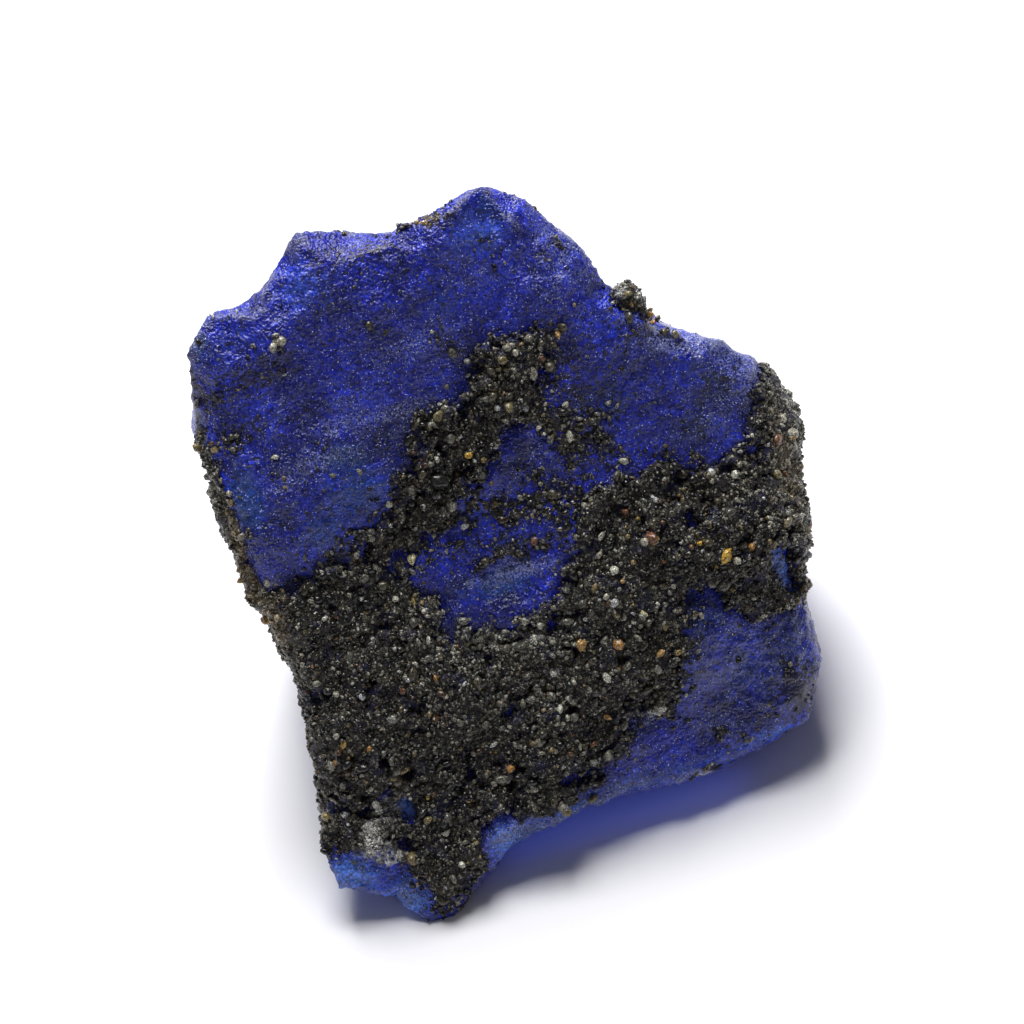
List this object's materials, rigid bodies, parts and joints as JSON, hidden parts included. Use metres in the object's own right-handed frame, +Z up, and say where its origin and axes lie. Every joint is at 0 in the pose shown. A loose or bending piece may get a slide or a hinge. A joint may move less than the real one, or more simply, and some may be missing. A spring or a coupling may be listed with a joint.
{
  "type": "rough sapphire",
  "caption": "Rough blue sapphire crystal with a broad splintery face leaning back and a crust of cemented dark sand, resting on a flat underside.",
  "frame": {"origin": "on the resting surface, under the middle of the bounding box", "axes": "+Z up as the stone stands; -Y towards the side that the broad leaning face looks to; +X to the right of someone facing that side"},
  "size_m": [0.0372, 0.034, 0.0347],
  "materials": {
    "sapphire": "rough broken translucent blue corundum",
    "sand_crust": "cemented dark sand and small pebbles"
  },
  "bodies": {
    "root": {"sapphire": "sapphire", "sand_crust": "sand_crust"}
  },
  "joints": []
}
